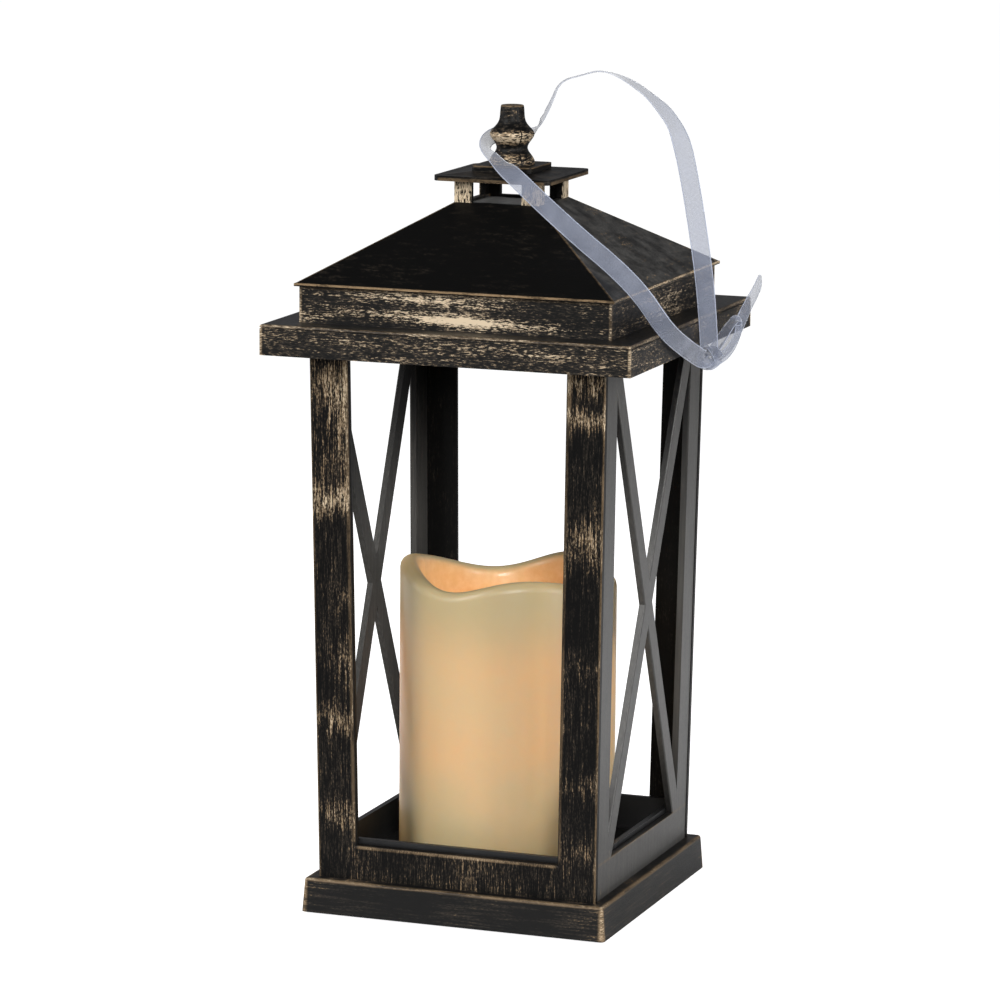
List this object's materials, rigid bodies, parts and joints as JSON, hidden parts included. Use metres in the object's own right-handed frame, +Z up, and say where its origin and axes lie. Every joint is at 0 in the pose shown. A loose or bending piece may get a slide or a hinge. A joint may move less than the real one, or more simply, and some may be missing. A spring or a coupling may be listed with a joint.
{
  "type": "candle lantern",
  "caption": "Square tapered tabletop lantern with open sides, X-braced side panels, a hipped roof with a small cupola and finial, a flameless candle and a hanging ribbon.",
  "frame": {"origin": "middle of the foot, on the table", "axes": "+Z up, -Y the front frame's outward side, +X the right side panel's outward side"},
  "size_m": [0.1434, 0.133, 0.294],
  "materials": {
    "lantern_plastic": "charcoal plastic with a dry-brushed antique gold rub",
    "inner_plastic": "plain black moulded plastic",
    "tray_plastic": "plain dark grey moulded plastic",
    "rubber": "soft black rubber",
    "screw_steel": "zinc plated",
    "nickel_plate": "nickel plated spring steel",
    "cell_sleeve": "plain printed sleeve, no lettering",
    "board_green": "green circuit board",
    "knob_plastic": "white moulded plastic",
    "wire_sleeve": "soft insulated wire",
    "candle_resin": "cream moulded plastic",
    "candle_wax": "cream wax, lightly translucent",
    "led_resin": "amber lamp resin",
    "vent_metal": "flat grey plate",
    "ribbon_organza": "sheer white organza"
  },
  "bodies": {
    "lantern_body": {"plinth": "lantern_plastic", "base_cover": "inner_plastic", "rubber_feet": "rubber", "base_screws": "screw_steel", "floor_tray": "tray_plastic", "battery_box": "inner_plastic", "batteries": "cell_sleeve", "contact_springs": "nickel_plate", "contact_plates": "nickel_plate", "circuit_board": "board_green", "switch_body": "inner_plastic", "wires": "wire_sleeve", "candle_base_ring": "candle_resin", "candle_screws": "screw_steel", "candle_shell": "candle_wax", "led_holder": "knob_plastic", "led_bulb": "led_resin", "front_frame": "lantern_plastic", "back_frame": "lantern_plastic", "right_panel": "lantern_plastic", "left_panel": "lantern_plastic", "right_cross": "lantern_plastic", "left_cross": "lantern_plastic", "cornice": "lantern_plastic", "roof_skirt": "lantern_plastic", "roof_screws": "screw_steel", "roof": "lantern_plastic", "vent_plate": "vent_metal", "cupola": "lantern_plastic", "cap_plate": "lantern_plastic", "finial_base": "lantern_plastic", "finial": "lantern_plastic", "finial_screw": "screw_steel", "ribbon": "ribbon_organza", "ribbon_knot": "ribbon_organza", "ribbon_tails": "ribbon_organza"},
    "battery_door": {"battery_door": "inner_plastic"},
    "switch_knob": {"switch_knob": "knob_plastic"}
  },
  "joints": [
    {"name": "battery_door_hinge", "type": "hinge", "parent": "lantern_body", "child": "battery_door", "pos_m": [-0.0279, 0, 0.0012], "axis": [0, 1, 0], "range_deg": [0, 90]},
    {"name": "switch_slide", "type": "slide", "parent": "lantern_body", "child": "switch_knob", "axis": [1, 0, 0], "range_m": [-0.0025, 0.0025]}
  ]
}
